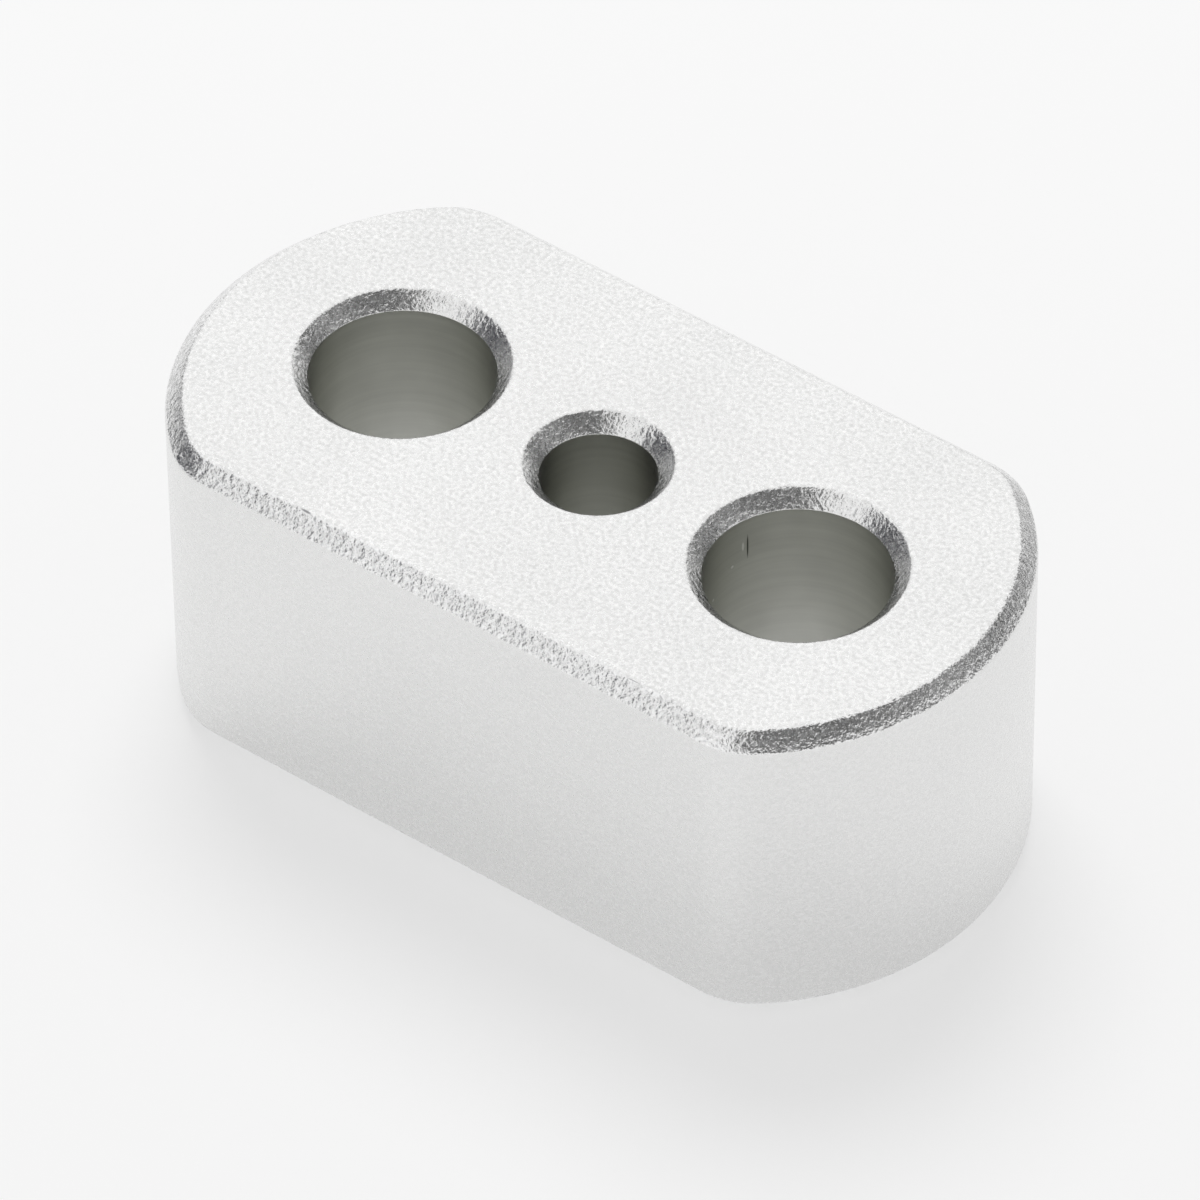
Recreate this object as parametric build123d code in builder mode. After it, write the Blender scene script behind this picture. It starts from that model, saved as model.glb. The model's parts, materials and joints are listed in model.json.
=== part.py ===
from build123d import *
import os

os.makedirs("parts", exist_ok=True)

# Machined mounting block: a short aluminium bar with two flat sides and two bowed ends,
# bored through by two large bolt holes and one small hole midway between them.
# The origin is the centre of the underside. +X runs along the row of holes and +Z is up.

# Block, in millimetres
length = 42.0  # over the bowed ends
width = 22.0  # across the two flat sides
height = 17.0
end_bow = 6.0  # how far each end bows out past the ends of the flat sides
corner_radius = 4.0  # where a bowed end meets a flat side
edge_chamfer = 0.8  # around the top and around the underside

# Two large bolt holes
large_hole_spacing = 22.0  # centre to centre
large_hole_diameter = 8.5
large_hole_chamfer = 0.75

# Small hole in the middle
small_hole_diameter = 5.3
small_hole_chamfer = 0.8

half_length = length / 2
half_width = width / 2
corner_x = half_length - end_bow

with BuildPart() as mounting_block:
    # Outline: a flat side, a bowed end, a flat side and a bowed end, with rounded corners
    with BuildSketch(Plane.XY) as outline:
        with BuildLine() as border:
            back_side = Line((-corner_x, half_width), (corner_x, half_width))
            right_end = ThreePointArc(back_side @ 1, (half_length, 0), (corner_x, -half_width))
            front_side = Line(right_end @ 1, (-corner_x, -half_width))
            ThreePointArc(front_side @ 1, (-half_length, 0), back_side @ 0)
        make_face()
        fillet(outline.vertices(), radius=corner_radius)
    extrude(amount=height)

    # Every edge of the top and of the underside is broken
    chamfer(mounting_block.faces().filter_by(Axis.Z).edges(), length=edge_chamfer)

    # The bolt holes go right through, and both their mouths are chamfered
    with Locations(Plane.XY.offset(height)):
        with GridLocations(large_hole_spacing, 0, 2, 1):
            Hole(radius=large_hole_diameter / 2)
    large_mouths = mounting_block.edges(Select.LAST).filter_by(GeomType.CIRCLE)
    chamfer(large_mouths, length=large_hole_chamfer)

    # So does the small hole
    with Locations(Plane.XY.offset(height)):
        Hole(radius=small_hole_diameter / 2)
    small_mouths = mounting_block.edges(Select.LAST).filter_by(GeomType.CIRCLE)
    chamfer(small_mouths, length=small_hole_chamfer)

mounting_block.part.label = "mounting_block"
export_step(mounting_block.part, "parts/mounting_block.step")
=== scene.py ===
"""Looks of the machined mounting block: blasted faces, soft edges and bored holes in a pale studio."""

import json
import math

import bmesh
import bpy
from bpy.props import FloatProperty, FloatVectorProperty, IntProperty, PointerProperty
from mathutils import Matrix, Vector


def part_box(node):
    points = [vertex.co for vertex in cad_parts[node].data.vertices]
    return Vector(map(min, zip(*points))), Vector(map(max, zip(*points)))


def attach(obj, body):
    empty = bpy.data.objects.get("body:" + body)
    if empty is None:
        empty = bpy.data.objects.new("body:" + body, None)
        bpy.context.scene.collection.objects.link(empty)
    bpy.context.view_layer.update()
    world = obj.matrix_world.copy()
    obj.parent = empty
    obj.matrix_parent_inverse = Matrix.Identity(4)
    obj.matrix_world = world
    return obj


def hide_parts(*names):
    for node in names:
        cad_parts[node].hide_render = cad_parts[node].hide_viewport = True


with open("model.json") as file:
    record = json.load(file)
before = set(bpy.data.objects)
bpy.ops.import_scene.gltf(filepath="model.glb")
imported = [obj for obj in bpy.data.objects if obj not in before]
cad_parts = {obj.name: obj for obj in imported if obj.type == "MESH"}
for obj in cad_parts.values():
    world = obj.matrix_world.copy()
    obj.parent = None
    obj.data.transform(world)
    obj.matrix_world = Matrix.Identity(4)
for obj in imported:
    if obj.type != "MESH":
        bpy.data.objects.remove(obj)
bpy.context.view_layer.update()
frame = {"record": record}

bl_info = {
    "name": "Mounting Block",
    "version": (1, 0, 0),
    "blender": (4, 5, 0),
    "location": "View3D > Sidebar > Mounting Block",
    "description": "Builds a blasted aluminium mounting block and the light studio around it",
    "category": "Add Mesh",
}

MM = 0.001
NODE = "mounting_block"
LOW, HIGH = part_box(NODE)
SIZE = HIGH - LOW
MOUNTS = {mount["name"]: mount for mount in frame["record"]["mounts"]}
LARGE = MOUNTS["large_hole_right"]
SMALL = MOUNTS["small_hole"]


def wall_radius(mount):
    """Radius of a hole's straight wall, in metres."""
    return mount["dims"]["r_mm"] * MM


def mouth_chamfer(mount):
    """Depth of the chamfer at each mouth of a through hole, in metres."""
    return (SIZE.z - mount["dims"]["length_mm"] * MM) / 2


# Sizes, finish and studio, as a user would change them


class BlockShape(bpy.types.PropertyGroup):
    """Sizes of the block."""

    length: FloatProperty(name="Length", description="Over the bowed ends", default=SIZE.x, unit="LENGTH")
    width: FloatProperty(name="Width", description="Across the flat sides", default=SIZE.y, unit="LENGTH")
    height: FloatProperty(name="Height", description="From underside to top", default=SIZE.z, unit="LENGTH")
    end_bow: FloatProperty(
        name="End bow", description="How far an end bows out past the flat sides",
        default=6 * MM, unit="LENGTH",
    )
    corner_radius: FloatProperty(
        name="Corner radius", description="Where an end meets a flat side",
        default=4 * MM, unit="LENGTH",
    )
    edge_chamfer: FloatProperty(
        name="Edge chamfer", description="Around the top and the underside",
        default=0.8 * MM, unit="LENGTH",
    )
    edge_softness: FloatProperty(
        name="Edge softness", description="Width that blasting rounds off each edge",
        default=0.13 * MM, unit="LENGTH",
    )
    hole_spacing: FloatProperty(
        name="Hole spacing", description="Between the large holes",
        default=2 * LARGE["pos_m"][0], unit="LENGTH",
    )
    large_radius: FloatProperty(
        name="Large hole radius", description="Of the straight wall",
        default=wall_radius(LARGE), unit="LENGTH",
    )
    large_chamfer: FloatProperty(
        name="Large hole chamfer", description="At both mouths",
        default=mouth_chamfer(LARGE), unit="LENGTH",
    )
    small_radius: FloatProperty(
        name="Small hole radius", description="Of the straight wall",
        default=wall_radius(SMALL), unit="LENGTH",
    )
    small_chamfer: FloatProperty(
        name="Small hole chamfer", description="At both mouths",
        default=mouth_chamfer(SMALL), unit="LENGTH",
    )
    end_steps: IntProperty(name="End steps", description="Faces around a bowed end", default=64, min=8)
    corner_steps: IntProperty(
        name="Corner steps", description="Faces around an upright corner", default=16, min=4,
    )
    hole_steps: IntProperty(name="Hole steps", description="Faces around a hole", default=128, min=16)


class BlockFinish(bpy.types.PropertyGroup):
    """Finish of the faces and of the holes."""

    face_colour: FloatVectorProperty(
        name="Face colour", description="Blasted aluminium",
        subtype="COLOR", size=3, default=(0.86, 0.86, 0.855),
    )
    face_roughness: FloatProperty(
        name="Face roughness", description="Inside one dimple",
        subtype="FACTOR", default=0.27, min=0, max=1,
    )
    dimple_size: FloatProperty(
        name="Dimple size", description="Width of one blasting dimple",
        default=0.27 * MM, unit="LENGTH",
    )
    dimple_depth: FloatProperty(
        name="Dimple depth", description="Depth of the blasted relief",
        default=0.07 * MM, unit="LENGTH",
    )
    hole_colour: FloatVectorProperty(
        name="Hole colour", description="Bored wall",
        subtype="COLOR", size=3, default=(0.675, 0.68, 0.645),
    )
    hole_roughness: FloatProperty(
        name="Hole roughness", description="Of the bored wall",
        subtype="FACTOR", default=0.30, min=0, max=1,
    )
    tool_mark_pitch: FloatProperty(
        name="Tool mark pitch", description="Between rings left by the boring tool",
        default=0.3 * MM, unit="LENGTH",
    )


class StudioSetup(bpy.types.PropertyGroup):
    """Camera and light."""

    azimuth: FloatProperty(
        name="Azimuth", description="Of the camera, from the front towards the right",
        subtype="ANGLE", default=math.radians(37.4),
    )
    elevation: FloatProperty(
        name="Elevation", description="Of the camera above the floor",
        subtype="ANGLE", default=math.radians(43.84),
    )
    roll: FloatProperty(
        name="Roll", description="Tilt of the camera", subtype="ANGLE", default=math.radians(-0.69),
    )
    distance: FloatProperty(name="Distance", description="Camera to block, in block lengths", default=12.05)
    view_width: FloatProperty(
        name="View width", description="Width of the view, in block lengths", default=1.2834,
    )
    sky_level: FloatProperty(name="Sky level", description="Light from all round", default=0.6)
    key_level: FloatProperty(name="Key level", description="Light from the large lamp", default=1.0)


# Materials

NOISE_LOW, NOISE_HIGH = 0.3, 0.7  # most values of a noise lie between these
MARK_EDGE = 0.6  # share of its reach at which a mark starts to fade
PATCH_SIZE = 9 * MM  # broad patches of a blasted face
SPECK_SIZE = 0.7  # of a dimple
SPECK_SHARE = 0.8  # of the mottle on a blasted face. The rest is its patches.
FACE_GLOSS = (-0.04, 0.04)  # how far the roughness of a blasted face varies
CLOUD_SIZE = 2.5 * MM  # uneven tone of a bored wall
CLOUD_SHARE = 0.5  # of the mottle on a bored wall. The rest is its rings.
BORE_TONES = (0.9, 1.08)  # darkest and lightest places of a bored wall, as shares of its colour
BORE_GLOSS = (-0.05, 0.08)  # how far the roughness of a bored wall varies
RING_DEPTH = 0.006 * MM  # relief of the rings that the boring tool left
RING_STRETCH = (0.03, 0.03, 1)  # draws a noise out around a hole
DARK_MARK_TONE = (0.3, 0.3, 0.31)


def new_material(name):
    """An empty node material, with its tree, its surface shader and its output."""
    material = bpy.data.materials.new(name)
    material.use_nodes = True
    tree = material.node_tree
    tree.nodes.clear()
    output = tree.nodes.new("ShaderNodeOutputMaterial")
    shader = tree.nodes.new("ShaderNodeBsdfPrincipled")
    tree.links.new(shader.outputs["BSDF"], output.inputs["Surface"])
    return material, tree, shader


def add_noise(tree, place, size, detail=2.0, roughness=0.5, stretch=(1, 1, 1)):
    """Noise with features of one size in metres, read from the object's own coordinates."""
    mapping = tree.nodes.new("ShaderNodeMapping")
    mapping.inputs["Scale"].default_value = [axis / size for axis in stretch]
    tree.links.new(place, mapping.inputs["Vector"])
    noise = tree.nodes.new("ShaderNodeTexNoise")
    noise.inputs["Scale"].default_value = 1.0
    noise.inputs["Detail"].default_value = detail
    noise.inputs["Roughness"].default_value = roughness
    tree.links.new(mapping.outputs["Vector"], noise.inputs["Vector"])
    return noise.outputs["Fac"]


def add_range(tree, value, low, high, from_low=0.0, from_high=1.0):
    """Value stretched to a range."""
    node = tree.nodes.new("ShaderNodeMapRange")
    node.inputs["From Min"].default_value = from_low
    node.inputs["From Max"].default_value = from_high
    node.inputs["To Min"].default_value = low
    node.inputs["To Max"].default_value = high
    tree.links.new(value, node.inputs["Value"])
    return node.outputs["Result"]


def add_math(tree, operation, first, second):
    """Arithmetic on two sockets or numbers."""
    node = tree.nodes.new("ShaderNodeMath")
    node.operation = operation
    for socket, value in zip(node.inputs, (first, second)):
        if isinstance(value, (int, float)):
            socket.default_value = value
        else:
            tree.links.new(value, socket)
    return node.outputs["Value"]


def add_blend(tree, first, second, share):
    """Two values mixed, with a share of the second."""
    rest = add_math(tree, "MULTIPLY", first, 1 - share)
    return add_math(tree, "ADD", rest, add_math(tree, "MULTIPLY", second, share))


def add_tone(tree, value, dark, light):
    """Colour between two tones, by a noise's value."""
    ramp = tree.nodes.new("ShaderNodeValToRGB")
    ramp.color_ramp.elements[0].color = (*dark, 1)
    ramp.color_ramp.elements[1].color = (*light, 1)
    tree.links.new(add_range(tree, value, 0, 1, NOISE_LOW, NOISE_HIGH), ramp.inputs["Fac"])
    return ramp.outputs["Color"]


def add_mark(tree, place, colour, centre, reach, tone):
    """Small oval mark on a colour: its centre and its reach along each axis are in millimetres."""
    shift = tree.nodes.new("ShaderNodeVectorMath")
    shift.operation = "SUBTRACT"
    shift.inputs[1].default_value = [axis * MM for axis in centre]
    tree.links.new(place, shift.inputs[0])
    share = tree.nodes.new("ShaderNodeVectorMath")
    share.operation = "DIVIDE"
    share.inputs[1].default_value = [axis * MM for axis in reach]
    tree.links.new(shift.outputs["Vector"], share.inputs[0])
    away = tree.nodes.new("ShaderNodeVectorMath")
    away.operation = "LENGTH"
    tree.links.new(share.outputs["Vector"], away.inputs[0])
    mix = tree.nodes.new("ShaderNodeMix")
    mix.data_type = "RGBA"
    tree.links.new(add_range(tree, away.outputs["Value"], 1, 0, MARK_EDGE, 1.0), mix.inputs["Factor"])
    tree.links.new(colour, mix.inputs["A"])
    mix.inputs["B"].default_value = (*tone, 1)
    return mix.outputs["Result"]


def add_bump(tree, height, depth, shader):
    """Relief of a height of 0 to 1 over a depth in metres."""
    bump = tree.nodes.new("ShaderNodeBump")
    bump.inputs["Strength"].default_value = 1.0
    bump.inputs["Distance"].default_value = depth
    tree.links.new(height, bump.inputs["Height"])
    tree.links.new(bump.outputs["Normal"], shader.inputs["Normal"])


def shade(colour, factor):
    """Colour made darker or lighter."""
    return tuple(min(1.0, channel * factor) for channel in colour)


# Small marks, by centre and reach along each axis in millimetres. A mark in a bore has its own tone: a nick
# there
# # is given as a dark streak of painted shade beside a light streak of painted highlight, and two pits as
# painted glints.
# Two small dark marks on the front top edge.
DARK_EDGE_MARKS = (
    ((-8.5, -10.2, 17.0), (0.35, 0.07, 0.09)),
    ((9.6, -10.2, 17.0), (0.5, 0.04, 0.05)),
)
# Painted light in the bore: painted shade and a painted highlight at a nick, then painted glints at two
# pits.
BORE_GLINTS_AND_SHADE = (
    ((7.06, 1.59, 14.6), (0.4, 0.05, 0.8), (0.12, 0.12, 0.11)),
    ((6.96, 1.36, 14.7), (0.4, 0.07, 0.3), (0.98, 0.98, 0.96)),
    ((6.82, 0.77, 13.82), (0.4, 0.1, 0.1), (0.97, 0.97, 0.96)),
    ((6.80, -0.62, 12.83), (0.4, 0.1, 0.1), (0.95, 0.95, 0.94)),
)


def blasted_aluminium(finish, name, relief, contrast, tone=1.0, sheen=1.0):
    """Bead-blasted, clear anodised faces: a metal covered in fine dimples that glint one by one.

    Relief scales the depth of the dimples, contrast is how far the tone varies, a tone below 1 darkens the
    whole colour as painted shade, and sheen is the share of bare metal: with less of it the face is more
    matt.
    """
    material, tree, shader = new_material(name)
    place = tree.nodes.new("ShaderNodeTexCoord").outputs["Object"]
    grain = add_noise(tree, place, finish.dimple_size, detail=2.0, roughness=0.7)
    patches = add_noise(tree, place, PATCH_SIZE, detail=3.0)
    specks = add_noise(tree, place, SPECK_SIZE * finish.dimple_size, detail=1.0)
    mottle = add_blend(tree, patches, specks, SPECK_SHARE)
    dark = shade(finish.face_colour, tone - contrast)
    light = shade(finish.face_colour, tone + contrast)
    colour = add_tone(tree, mottle, dark, light)
    for centre, reach in DARK_EDGE_MARKS:
        colour = add_mark(tree, place, colour, centre, reach, DARK_MARK_TONE)
    tree.links.new(colour, shader.inputs["Base Color"])
    smooth, rough = (finish.face_roughness + step for step in FACE_GLOSS)
    tree.links.new(add_range(tree, specks, smooth, rough), shader.inputs["Roughness"])
    shader.inputs["Metallic"].default_value = sheen
    add_bump(tree, grain, finish.dimple_depth * relief, shader)
    return material


def bored_aluminium(finish):
    """Hole walls as the tool left them: darker, with fine rings around the hole, and a nick and pits given
    as painted shade and painted glints.
    """
    material, tree, shader = new_material("bored_aluminium")
    place = tree.nodes.new("ShaderNodeTexCoord").outputs["Object"]
    rings = add_noise(tree, place, finish.tool_mark_pitch, detail=3.0, stretch=RING_STRETCH)
    clouds = add_noise(tree, place, CLOUD_SIZE, detail=2.0)
    mottle = add_blend(tree, rings, clouds, CLOUD_SHARE)
    dark, light = (shade(finish.hole_colour, tone) for tone in BORE_TONES)
    colour = add_tone(tree, mottle, dark, light)
    # The bore marks paint the shade and the glints of a nick and pits.
    for centre, reach, tone in BORE_GLINTS_AND_SHADE:
        colour = add_mark(tree, place, colour, centre, reach, tone)
    tree.links.new(colour, shader.inputs["Base Color"])
    smooth, rough = (finish.hole_roughness + step for step in BORE_GLOSS)
    tree.links.new(add_range(tree, rings, smooth, rough), shader.inputs["Roughness"])
    shader.inputs["Metallic"].default_value = 1.0
    add_bump(tree, rings, RING_DEPTH, shader)
    return material


# Block

# Material slots: top and underside, edge chamfers, smoother sides, mouths of the holes, and bored walls
FACE, CHAMFER, SIDE, MOUTH, BORE = range(5)

LEVEL = 0.9  # a level face's normal points up or down by more than this
UPRIGHT = 0.1  # an upright face's normal points up or down by less than this
SHARP = math.radians(30)  # an edge that turns by more than this is rounded off
RIM_SHARE = 0.4  # of the edge softness, at the rims of the bored walls
STRIP_WIDTH = 0.35 * MM  # even strip of faces along the edges of the top and the underside
HEIGHT_SLACK = 0.1 * MM  # when the border of a level face is looked for
WALL_SLACK = 0.01 * MM  # when the faces of a bored wall are looked for
MERGE_DISTANCE = 0.001 * MM


def swing(bm, vert, centre, angle, steps):
    """Carries a vertex round an upright axis, with a chain of edges behind it. Returns the last vertex."""
    turned = bmesh.ops.spin(
        bm, geom=[vert], cent=(*centre, vert.co.z), axis=(0, 0, 1), dvec=(0, 0, 0), angle=angle, steps=steps
    )
    return next(item for item in turned["geom_last"] if isinstance(item, bmesh.types.BMVert))


def outline(bm, shape, inset, height):
    """Closed outline of the block, moved in by inset, at a height. Returns its edges."""
    before = set(bm.edges)
    half_width = shape.width / 2
    end_radius = (half_width**2 + shape.end_bow**2) / (2 * shape.end_bow)
    end_x = shape.length / 2 - end_radius
    corner_y = half_width - shape.corner_radius
    corner_x = end_x + math.sqrt((end_radius - shape.corner_radius) ** 2 - corner_y**2)
    corner_turn = math.atan2(corner_x - end_x, corner_y)
    front, back = [], []
    for side in (1, -1):
        first = bm.verts.new((side * corner_x, side * (inset - half_width), height))
        last = swing(bm, first, (side * corner_x, -side * corner_y), corner_turn, shape.corner_steps)
        last = swing(bm, last, (side * end_x, 0), math.pi - 2 * corner_turn, shape.end_steps)
        last = swing(bm, last, (side * corner_x, side * corner_y), corner_turn, shape.corner_steps)
        front.append(first)
        back.append(last)
    bm.edges.new((back[0], front[1]))
    bm.edges.new((back[1], front[0]))
    return [edge for edge in bm.edges if edge not in before]


def side_wall(bm, shape):
    """Side of the block, with the chamfers around the underside and the top."""
    chamfer = shape.edge_chamfer
    rings = [(chamfer, 0), (0, chamfer), (0, shape.height - chamfer), (chamfer, shape.height)]
    loops = [outline(bm, shape, inset, height) for inset, height in rings]
    for lower, upper in zip(loops, loops[1:]):
        bmesh.ops.bridge_loops(bm, edges=lower + upper)


def hole_wall(bm, shape, x, radius, chamfer):
    """Wall of a through hole, with a chamfer at each mouth."""
    wide = radius + chamfer
    profile = [(wide, 0), (radius, chamfer), (radius, shape.height - chamfer), (wide, shape.height)]
    verts = [bm.verts.new((x + across, 0, height)) for across, height in profile]
    edges = [bm.edges.new(pair) for pair in zip(verts, verts[1:])]
    bmesh.ops.spin(
        bm, geom=verts + edges, cent=(x, 0, 0), axis=(0, 0, 1), dvec=(0, 0, 0),
        angle=2 * math.pi, steps=shape.hole_steps, use_merge=True,
    )


def close_faces(bm, shape):
    """Fills the top and the underside around the holes, with a narrow even strip along every edge."""
    for height in (0, shape.height):
        border = [
            edge for edge in bm.edges
            if edge.is_boundary and all(abs(vert.co.z - height) < HEIGHT_SLACK for vert in edge.verts)
        ]
        filled = bmesh.ops.triangle_fill(bm, edges=border, use_beauty=True, use_dissolve=False)
        faces = [item for item in filled["geom"] if isinstance(item, bmesh.types.BMFace)]
        bmesh.ops.recalc_face_normals(bm, faces=bm.faces)
        bmesh.ops.inset_region(
            bm, faces=faces, thickness=STRIP_WIDTH, use_boundary=True, use_even_offset=True,
        )


def block_mesh(shape):
    """The whole block as one closed mesh."""
    bm = bmesh.new()
    side_wall(bm, shape)
    for side in (-1, 1):
        hole_wall(bm, shape, side * shape.hole_spacing / 2, shape.large_radius, shape.large_chamfer)
    hole_wall(bm, shape, 0, shape.small_radius, shape.small_chamfer)
    close_faces(bm, shape)
    bmesh.ops.remove_doubles(bm, verts=bm.verts, dist=MERGE_DISTANCE)
    bmesh.ops.recalc_face_normals(bm, faces=bm.faces)
    for face in bm.faces:
        middle = face.calc_center_median()
        large = math.hypot(abs(middle.x) - shape.hole_spacing / 2, middle.y) - shape.large_radius
        small = math.hypot(middle.x, middle.y) - shape.small_radius
        if large < WALL_SLACK or small < WALL_SLACK:
            face.material_index = BORE
        elif abs(face.normal.z) < UPRIGHT:
            face.material_index = SIDE
        elif abs(face.normal.z) < LEVEL:
            at_hole = large < shape.large_chamfer or small < shape.small_chamfer
            face.material_index = MOUTH if at_hole else CHAMFER
    sharp = [edge for edge in bm.edges if edge.calc_face_angle(0) > SHARP]
    rims = [edge for edge in sharp if any(face.material_index == BORE for face in edge.link_faces)]
    outside = list(set(sharp) - set(rims))
    for edges, softness in ((rims, RIM_SHARE * shape.edge_softness), (outside, shape.edge_softness)):
        bmesh.ops.bevel(
            bm, geom=edges, offset=softness, offset_type="OFFSET", affect="EDGES",
            segments=3, profile=0.5, material=-1, clamp_overlap=True,
        )
    bmesh.ops.recalc_face_normals(bm, faces=bm.faces)
    for face in bm.faces:
        face.smooth = True
    mesh = bpy.data.meshes.new("block_body")
    bm.to_mesh(mesh)
    bm.free()
    return mesh


class BLOCK_OT_build_body(bpy.types.Operator):
    """Build the block and give it its finish"""

    bl_idname = "block.build_body"
    bl_label = "Build Block"

    def execute(self, context):
        scene = context.scene
        mesh = block_mesh(scene.block_shape)
        body = bpy.data.objects.new("block_body", mesh)
        scene.collection.objects.link(body)
        finish = scene.block_finish
        for material in (
            blasted_aluminium(finish, "blasted_faces", relief=0.9, contrast=0.15, sheen=0.5),
            blasted_aluminium(finish, "blasted_chamfers", relief=1.0, contrast=0.17),
            # The sides take tone 0.95, a darker copy of the face colour: painted shade.
            blasted_aluminium(finish, "blasted_sides_painted_shade", relief=0.3, contrast=0.04, tone=0.95),
            # The hole mouths take tone 0.97, a darker copy of the face colour: painted shade inside the
            # holes.
            blasted_aluminium(finish, "blasted_mouths_painted_shade", relief=0.85, contrast=0.12, tone=0.97),
            bored_aluminium(finish),
        ):
            mesh.materials.append(material)
        even = body.modifiers.new("Even shading", "WEIGHTED_NORMAL")
        even.mode = "FACE_AREA"
        even.weight = 50
        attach(body, "root")
        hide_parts(NODE)
        return {"FINISHED"}


# Studio

# Lengths are in metres
FLOOR_RADIUS = 2.0
FLOOR_DROP = 0.02 * MM  # keeps the floor just below the underside
FLOOR_TONE = 0.9
FLOOR_ROUGHNESS = 0.9
WHITE_SHARE = 0.5  # of the floor, where it is seen as background. The rest shows its light and shadow.
LAMP_WATTS = 1.6
LAMP_SIZE = 0.35
LAMP_REACH = 0.6
LAMP_AZIMUTH = math.radians(-140)
LAMP_ELEVATION = math.radians(60)

# The rays that see the world and the floor as a white background
BACKGROUND_RAYS = ("Is Camera Ray", "Is Glossy Ray", "Is Transmission Ray")


def direction(azimuth, elevation):
    """Unit vector towards an azimuth, from the front to the right, and an elevation."""
    flat = math.cos(elevation)
    return Vector((math.sin(azimuth) * flat, -math.cos(azimuth) * flat, math.sin(elevation)))


def facing(place, target, roll=0.0):
    """Transform of a camera, lamp or card at a place, looking at a target."""
    back = (place - target).normalized()
    right = Vector((0, 0, 1)).cross(back).normalized()
    up = back.cross(right)
    turn = Matrix((right, up, back)).transposed().to_4x4()
    return Matrix.Translation(place) @ turn @ Matrix.Rotation(roll, 4, "Z")


def ray_share(tree, *rays):
    """1 for the named kinds of ray, and 0 for all others."""
    path = tree.nodes.new("ShaderNodeLightPath")
    total = path.outputs[rays[0]]
    for ray in rays[1:]:
        total = add_math(tree, "MAXIMUM", total, path.outputs[ray])
    return total


def light_sky(scene, level):
    """Even light from all round, over a background that shows and reflects as white."""
    world = bpy.data.worlds.new("studio_sky")
    world.use_nodes = True
    tree = world.node_tree
    tree.nodes.clear()
    output = tree.nodes.new("ShaderNodeOutputWorld")
    mix = tree.nodes.new("ShaderNodeMixShader")
    light = tree.nodes.new("ShaderNodeBackground")
    light.inputs["Color"].default_value = (1, 1, 1, 1)
    light.inputs["Strength"].default_value = level
    white = tree.nodes.new("ShaderNodeBackground")
    white.inputs["Color"].default_value = (1, 1, 1, 1)
    tree.links.new(ray_share(tree, *BACKGROUND_RAYS), mix.inputs["Fac"])
    tree.links.new(light.outputs["Background"], mix.inputs[1])
    tree.links.new(white.outputs["Background"], mix.inputs[2])
    tree.links.new(mix.outputs["Shader"], output.inputs["Surface"])
    scene.world = world


def lay_floor(scene):
    """Wide pale floor under the block, which keeps the block's shadow."""
    bm = bmesh.new()
    bmesh.ops.create_circle(bm, cap_ends=True, segments=96, radius=FLOOR_RADIUS)
    bmesh.ops.translate(bm, verts=bm.verts, vec=(0, 0, -FLOOR_DROP))
    mesh = bpy.data.meshes.new("studio_floor")
    bm.to_mesh(mesh)
    bm.free()
    material, tree, shader = new_material("studio_floor")
    shader.inputs["Base Color"].default_value = (FLOOR_TONE, FLOOR_TONE, FLOOR_TONE, 1)
    shader.inputs["Roughness"].default_value = FLOOR_ROUGHNESS
    shader.inputs["Specular IOR Level"].default_value = 0.0
    glow = tree.nodes.new("ShaderNodeEmission")
    glow.inputs["Color"].default_value = (1, 1, 1, 1)
    glow.inputs["Strength"].default_value = 1.0
    seen = ray_share(tree, *BACKGROUND_RAYS)
    mix = tree.nodes.new("ShaderNodeMixShader")
    tree.links.new(add_math(tree, "MULTIPLY", seen, WHITE_SHARE), mix.inputs["Fac"])
    tree.links.new(shader.outputs["BSDF"], mix.inputs[1])
    tree.links.new(glow.outputs["Emission"], mix.inputs[2])
    output = next(node for node in tree.nodes if node.type == "OUTPUT_MATERIAL")
    tree.links.new(mix.outputs["Shader"], output.inputs["Surface"])
    mesh.materials.append(material)
    floor = bpy.data.objects.new("studio_floor", mesh)
    scene.collection.objects.link(floor)


def hang_card(scene, name, azimuth, elevation, width, height, tone, reach):
    """Grey card that only reflections see, to give the bright metal its dark side.

    The angles are in degrees, and reach is the distance from the middle of the block in metres.
    """
    bm = bmesh.new()
    bmesh.ops.create_grid(bm, x_segments=1, y_segments=1, size=0.5)
    mesh = bpy.data.meshes.new(name)
    bm.to_mesh(mesh)
    bm.free()
    centre = Vector((0, 0, SIZE.z / 2))
    place = centre + reach * direction(math.radians(azimuth), math.radians(elevation))
    wide = 2 * reach * math.tan(math.radians(width / 2))
    tall = 2 * reach * math.tan(math.radians(height / 2))
    mesh.transform(facing(place, centre) @ Matrix.Diagonal((wide, tall, 1, 1)))
    material, _, shader = new_material(name)
    shader.inputs["Base Color"].default_value = (0, 0, 0, 1)
    shader.inputs["Specular IOR Level"].default_value = 0.0
    shader.inputs["Emission Color"].default_value = (*tone, 1)
    shader.inputs["Emission Strength"].default_value = 1.0
    mesh.materials.append(material)
    card = bpy.data.objects.new(name, mesh)
    scene.collection.objects.link(card)
    card.visible_camera = False
    card.visible_diffuse = False
    card.visible_shadow = False
    card.visible_transmission = False


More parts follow.
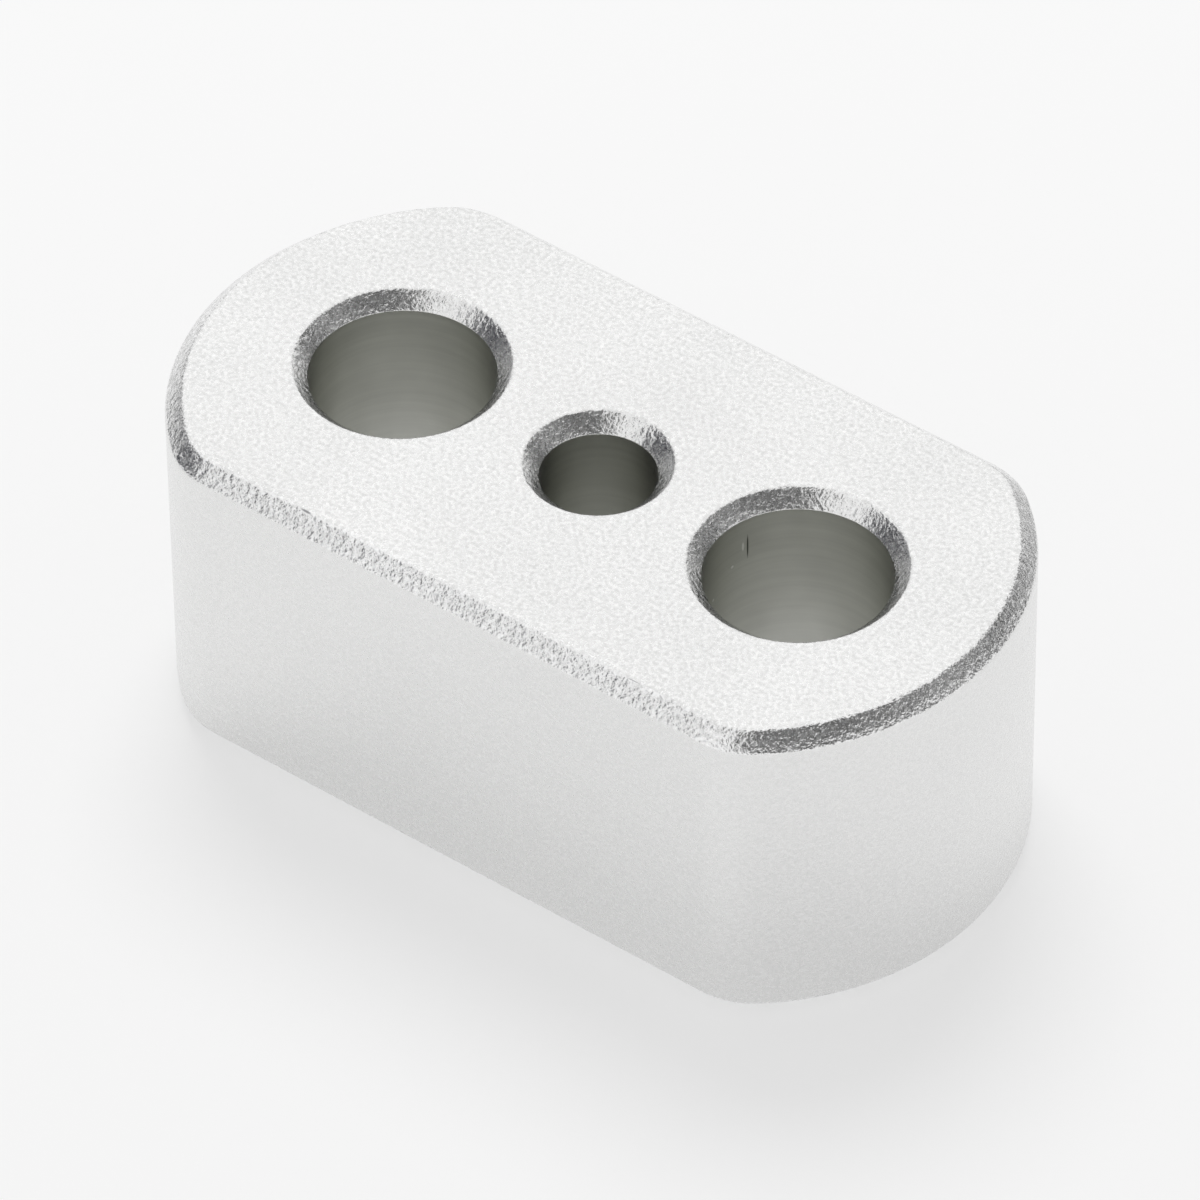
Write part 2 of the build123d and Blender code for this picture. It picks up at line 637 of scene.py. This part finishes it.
# Six grey cards, placed in steps of 5 degrees. The note behind each names the stretch of edge chamfer that
# mirrors it to the camera. The hole mouths that slope the same way mirror it too.
CARDS = {
    # azimuth, elevation, width and height in degrees, tone, and reach in metres
    "card_left": (-65, 20, 45, 35, (0.03, 0.03, 0.04), 0.8),  # front left corner
    "card_left_far": (-100, 10, 30, 25, (0.35, 0.35, 0.35), 0.85),  # start of the left end
    "card_right": (65, 50, 75, 45, (0.1, 0.1, 0.1), 0.8),  # front right corner, start of the right end
    "card_right_mid": (115, 35, 35, 25, (0.2, 0.2, 0.2), 0.75),  # middle of the right end
    "card_right_low": (145, 20, 40, 25, (0.05, 0.05, 0.05), 0.8),  # far part of the right end
    "card_back": (170, 0, 40, 15, (0.2, 0.2, 0.2), 0.1),  # back of the right end
}


class BLOCK_OT_build_stage(bpy.types.Operator):
    """Build the floor, the light and the camera around the block"""

    bl_idname = "block.build_stage"
    bl_label = "Build Studio"

    def execute(self, context):
        scene = context.scene
        studio = scene.block_studio
        shape = scene.block_shape
        centre = Vector((0, 0, shape.height / 2))
        light_sky(scene, studio.sky_level)
        lay_floor(scene)
        for name, card in CARDS.items():
            hang_card(scene, name, *card)

        lamp = bpy.data.lights.new("key_lamp", "AREA")
        lamp.shape = "DISK"
        lamp.size = LAMP_SIZE
        lamp.energy = studio.key_level * LAMP_WATTS
        key = bpy.data.objects.new("key_lamp", lamp)
        key.matrix_world = facing(centre + LAMP_REACH * direction(LAMP_AZIMUTH, LAMP_ELEVATION), centre)
        key.visible_glossy = False
        scene.collection.objects.link(key)

        lens = bpy.data.cameras.new("camera")
        distance = studio.distance * shape.length
        lens.lens = lens.sensor_width * distance / (studio.view_width * shape.length)
        lens.clip_start = 0.01
        camera = bpy.data.objects.new("camera", lens)
        camera.matrix_world = facing(
            centre + distance * direction(studio.azimuth, studio.elevation), centre, studio.roll
        )
        scene.collection.objects.link(camera)
        scene.camera = camera
        scene.view_settings.view_transform = "Standard"
        return {"FINISHED"}


class BLOCK_PT_sidebar(bpy.types.Panel):
    """Mounting block sizes, finish and studio"""

    bl_idname = "BLOCK_PT_sidebar"
    bl_label = "Mounting Block"
    bl_space_type = "VIEW_3D"
    bl_region_type = "UI"
    bl_category = "Mounting Block"

    def draw(self, context):
        layout = self.layout
        for group, operator in (
            (context.scene.block_shape, None),
            (context.scene.block_finish, "block.build_body"),
            (context.scene.block_studio, "block.build_stage"),
        ):
            box = layout.box()
            for name in group.__annotations__:
                box.prop(group, name)
            if operator:
                box.operator(operator)


CLASSES = (
    BlockShape, BlockFinish, StudioSetup,
    BLOCK_OT_build_body, BLOCK_OT_build_stage, BLOCK_PT_sidebar,
)


def register():
    for cls in CLASSES:
        bpy.utils.register_class(cls)
    bpy.types.Scene.block_shape = PointerProperty(type=BlockShape)
    bpy.types.Scene.block_finish = PointerProperty(type=BlockFinish)
    bpy.types.Scene.block_studio = PointerProperty(type=StudioSetup)


def unregister():
    del bpy.types.Scene.block_studio
    del bpy.types.Scene.block_finish
    del bpy.types.Scene.block_shape
    for cls in reversed(CLASSES):
        bpy.utils.unregister_class(cls)


def main():
    """Builds everything."""
    register()
    bpy.ops.block.build_body()
    bpy.ops.block.build_stage()


if __name__ == "__main__":
    main()
